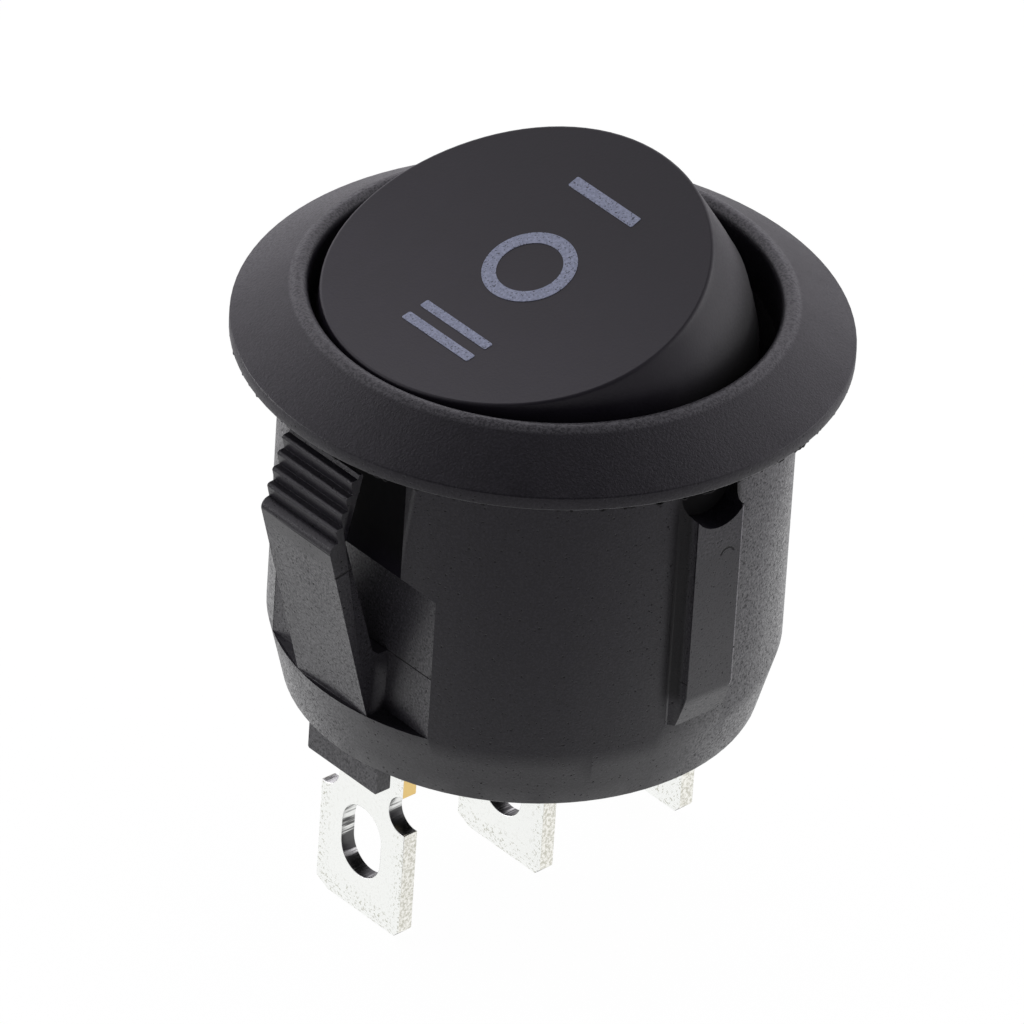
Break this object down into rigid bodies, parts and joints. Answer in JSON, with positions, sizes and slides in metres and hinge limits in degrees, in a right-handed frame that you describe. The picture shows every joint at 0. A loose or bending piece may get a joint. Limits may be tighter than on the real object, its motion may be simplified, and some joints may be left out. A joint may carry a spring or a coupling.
{
  "type": "panel rocker switch",
  "caption": "Round black snap-in panel rocker switch with an on-off-on rocker, toothed side latches, locating keys and tinned blade terminals with solder eyes",
  "frame": {"origin": "centre of the bezel's seating face, on the front plane of the panel and on the switch's axis", "axes": "+Z out of the panel towards the user; X along the rocker, +X at its I end and -X at its II end, which is pressed at rest; +Y across the rocker, completing a right-handed set"},
  "size_m": [0.0232, 0.023, 0.0289],
  "materials": {
    "housing_plastic": "black moulded nylon; fine spark-eroded grain on the bezel's slope, plainer moulded body",
    "rocker_plastic": "black moulded nylon, fine satin face with light grey printed signs",
    "plunger_plastic": "natural nylon",
    "spring_wire": "drawn spring steel",
    "strip_copper": "stamped copper alloy",
    "contact_silver": "fine silver alloy rivet",
    "terminal_tin": "bright tin plate over stamped brass, duller sheared edges"
  },
  "bodies": {
    "base": {"housing": "housing_plastic", "terminal_i": "terminal_tin", "terminal_common": "terminal_tin", "terminal_ii": "terminal_tin", "fixed_contact_i": "contact_silver", "fixed_contact_ii": "contact_silver"},
    "rocker_body": {"rocker": "rocker_plastic", "plunger_spring": "spring_wire"},
    "plunger_body": {"plunger": "plunger_plastic"},
    "strip_body": {"contact_strip": "strip_copper", "moving_contact_i": "contact_silver", "moving_contact_ii": "contact_silver"}
  },
  "joints": [
    {"name": "rocker_pivot", "type": "hinge", "parent": "base", "child": "rocker_body", "pos_m": [0, 0, -0.0015], "axis": [0, 1, 0], "range_deg": [0, 32.8]},
    {"name": "plunger_slide", "type": "slide", "parent": "rocker_body", "child": "plunger_body", "axis": [-0.2823, 0, 0.9593], "range_m": [0, 0.0008], "stiffness_N_per_m": 300, "deforming": ["plunger_spring"]},
    {"name": "strip_rock", "type": "hinge", "parent": "base", "child": "strip_body", "pos_m": [0, 0, -0.0096], "axis": [0, 1, 0], "range_deg": [-16.4, 0]}
  ],
  "couplings": [
    {"joint": "strip_rock", "follows": "rocker_pivot", "ratio": -0.5}
  ]
}
